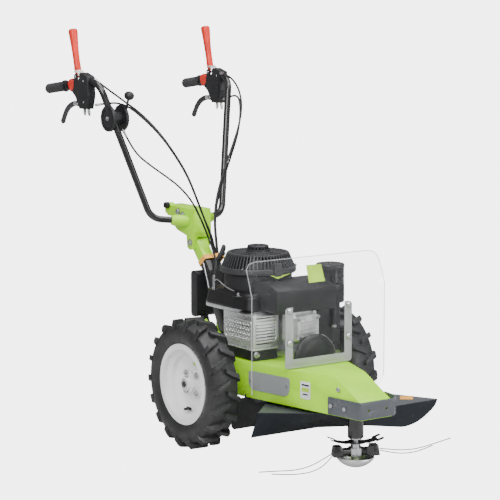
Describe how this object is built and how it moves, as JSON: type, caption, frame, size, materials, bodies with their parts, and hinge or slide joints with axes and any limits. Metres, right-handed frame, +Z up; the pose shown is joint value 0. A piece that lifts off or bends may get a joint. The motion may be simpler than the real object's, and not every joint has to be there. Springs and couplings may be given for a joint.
{
  "type": "brush mower",
  "caption": "Walk-behind two-wheeled brush mower with a petrol engine, folded deck, belt-driven nylon-line head at the nose and a tall tubular handlebar with levers.",
  "frame": {"origin": "on the ground under the middle of the machine's bounding box, measured without the cutting lines", "axes": "+Z up, -Y towards the nose and the line head, +X towards the side that the deflector reaches out to, which is the right-hand side of the picture"},
  "size_m": [0.761, 1.6742, 1.4485],
  "materials": {
    "green_paint": "gloss powder coat",
    "green_cast": "gloss powder coat on a casting",
    "black_paint": "satin powder coat",
    "slate_paint": "satin powder coat",
    "grey_paint": "satin powder coat",
    "white_paint": "gloss paint",
    "tyre": "moulded rubber",
    "rubber": "matt",
    "clear_plastic": "clear polycarbonate",
    "black_plastic": "moulded, fine texture",
    "gloss_black": "polished",
    "red_plastic": "moulded",
    "orange_plastic": "moulded",
    "steel": "zinc plated",
    "cast_aluminium": "as cast",
    "sheet_aluminium": "pressed sheet",
    "nylon": "extruded line"
  },
  "bodies": {
    "chassis": {"deck_shell": "green_paint", "side_cover": "grey_paint", "front_bumper": "slate_paint", "debris_deflector": "slate_paint", "engine_shield": "clear_plastic", "shield_bracket": "grey_paint", "chassis_bolts": "steel", "crankcase": "cast_aluminium", "cylinder_barrel": "cast_aluminium", "rocker_cover": "cast_aluminium", "muffler_guard": "sheet_aluminium", "muffler_body": "steel", "blower_housing": "black_plastic", "fan_shroud": "black_plastic", "air_filter": "gloss_black", "carburettor": "black_plastic", "fuel_tank": "black_plastic", "gearbox_housing": "cast_aluminium", "spindle_housing": "black_paint", "drive_belt": "rubber", "column_post": "black_paint", "rear_cover": "black_plastic", "cable_clip": "orange_plastic", "cables_lower": "rubber"},
    "wheel_left": {"tyre_left": "tyre", "rim_left": "white_paint", "hub_left": "steel"},
    "wheel_right": {"tyre_right": "tyre", "rim_right": "white_paint", "hub_right": "steel"},
    "crank": {"crankshaft": "steel", "flywheel_fan": "cast_aluminium"},
    "head": {"spindle_shaft": "steel", "anti_wrap_plate": "black_paint", "line_holder": "black_paint", "steel_cup": "steel", "cutting_line_1": "nylon", "cutting_line_2": "nylon", "cutting_line_3": "nylon", "cutting_line_4": "nylon"},
    "glide": {"glide_cup": "sheet_aluminium"},
    "tensioner": {"idler_arm": "steel"},
    "idler": {"idler_pulley": "steel"},
    "handlebar": {"head_bracket": "green_cast", "handlebar_tube": "black_paint", "grip_left": "rubber", "grip_right": "rubber", "control_left": "black_plastic", "control_right": "black_plastic", "throttle_drum": "black_plastic", "cables_upper": "rubber"},
    "safety_left": {"safety_lever_left": "red_plastic"},
    "safety_right": {"safety_lever_right": "red_plastic"},
    "drive_left": {"drive_lever_left": "black_plastic"},
    "drive_right": {"drive_lever_right": "black_plastic"},
    "throttle": {"throttle_lever": "black_plastic"},
    "starter": {"starter_grip": "rubber"},
    "tank_cap": {"fuel_cap": "black_plastic"},
    "filler_cap": {"oil_cap": "black_plastic"},
    "height_lock": {"lock_knob": "black_plastic"}
  },
  "joints": [
    {"name": "wheel_left_spin", "type": "hinge", "parent": "chassis", "child": "wheel_left", "pos_m": [0.2755, -0.16466, 0.23], "axis": [1, 0, 0], "continuous": true},
    {"name": "wheel_right_spin", "type": "hinge", "parent": "chassis", "child": "wheel_right", "pos_m": [-0.3245, -0.16466, 0.23], "axis": [1, 0, 0], "continuous": true},
    {"name": "crank_spin", "type": "hinge", "parent": "chassis", "child": "crank", "pos_m": [-0.0245, -0.13266, 0.4], "axis": [0, 0, 1], "continuous": true},
    {"name": "head_spin", "type": "hinge", "parent": "chassis", "child": "head", "pos_m": [-0.0245, -0.70666, 0.15], "axis": [0, 0, 1], "continuous": true},
    {"name": "glide_spin", "type": "hinge", "parent": "head", "child": "glide", "pos_m": [-0.0245, -0.70666, 0.02], "axis": [0, 0, 1], "continuous": true},
    {"name": "tensioner_swing", "type": "hinge", "parent": "chassis", "child": "tensioner", "pos_m": [0.0715, -0.45666, 0.27], "axis": [0, 0, 1], "range_deg": [-15, 0], "stiffness_Nm_per_rad": 3, "springref_deg": 5.73},
    {"name": "idler_spin", "type": "hinge", "parent": "tensioner", "child": "idler", "pos_m": [0.039, -0.38466, 0.266], "axis": [0, 0, 1], "continuous": true},
    {"name": "handlebar_tilt", "type": "hinge", "parent": "chassis", "child": "handlebar", "pos_m": [-0.0245, 0.25234, 0.659], "axis": [1, 0, 0], "range_deg": [-8, 10]},
    {"name": "safety_left_press", "type": "hinge", "parent": "handlebar", "child": "safety_left", "pos_m": [0.2745, 0.61034, 1.268], "axis": [-1, 0, 0], "range_deg": [0, 60], "stiffness_Nm_per_rad": 0.4, "springref_deg": -17.19},
    {"name": "safety_right_press", "type": "hinge", "parent": "handlebar", "child": "safety_right", "pos_m": [-0.3235, 0.61034, 1.268], "axis": [-1, 0, 0], "range_deg": [0, 60], "stiffness_Nm_per_rad": 0.4, "springref_deg": -17.19},
    {"name": "drive_left_pull", "type": "hinge", "parent": "handlebar", "child": "drive_left", "pos_m": [0.2745, 0.59734, 1.168], "axis": [1, 0, 0], "range_deg": [0, 20], "stiffness_Nm_per_rad": 0.6, "springref_deg": -11.46},
    {"name": "drive_right_pull", "type": "hinge", "parent": "handlebar", "child": "drive_right", "pos_m": [-0.3235, 0.59734, 1.168], "axis": [1, 0, 0], "range_deg": [0, 20], "stiffness_Nm_per_rad": 0.6, "springref_deg": -11.46},
    {"name": "throttle_swing", "type": "hinge", "parent": "handlebar", "child": "throttle", "pos_m": [-0.2325, 0.44734, 1.119], "axis": [1, 0, 0], "range_deg": [-20, 35]},
    {"name": "starter_pull", "type": "slide", "parent": "chassis", "child": "starter", "axis": [-0.72, 0.56, 0.41], "range_m": [0, 0.6], "stiffness_N_per_m": 15, "springref_m": -0.3},
    {"name": "fuel_cap_turn", "type": "hinge", "parent": "chassis", "child": "tank_cap", "pos_m": [0.1105, 0.02534, 0.6], "axis": [0, 0, 1], "range_deg": [0, 120]},
    {"name": "oil_cap_turn", "type": "hinge", "parent": "chassis", "child": "filler_cap", "pos_m": [0.0935, -0.10466, 0.41], "axis": [0, 0, 1], "range_deg": [0, 180]},
    {"name": "height_lock_turn", "type": "hinge", "parent": "handlebar", "child": "height_lock", "pos_m": [-0.0695, 0.40234, 0.785], "axis": [1, 0, 0], "continuous": true}
  ],
  "couplings": [
    {"joint": "head_spin", "follows": "crank_spin", "ratio": 1.3846},
    {"joint": "idler_spin", "follows": "crank_spin", "ratio": -1.8182}
  ]
}
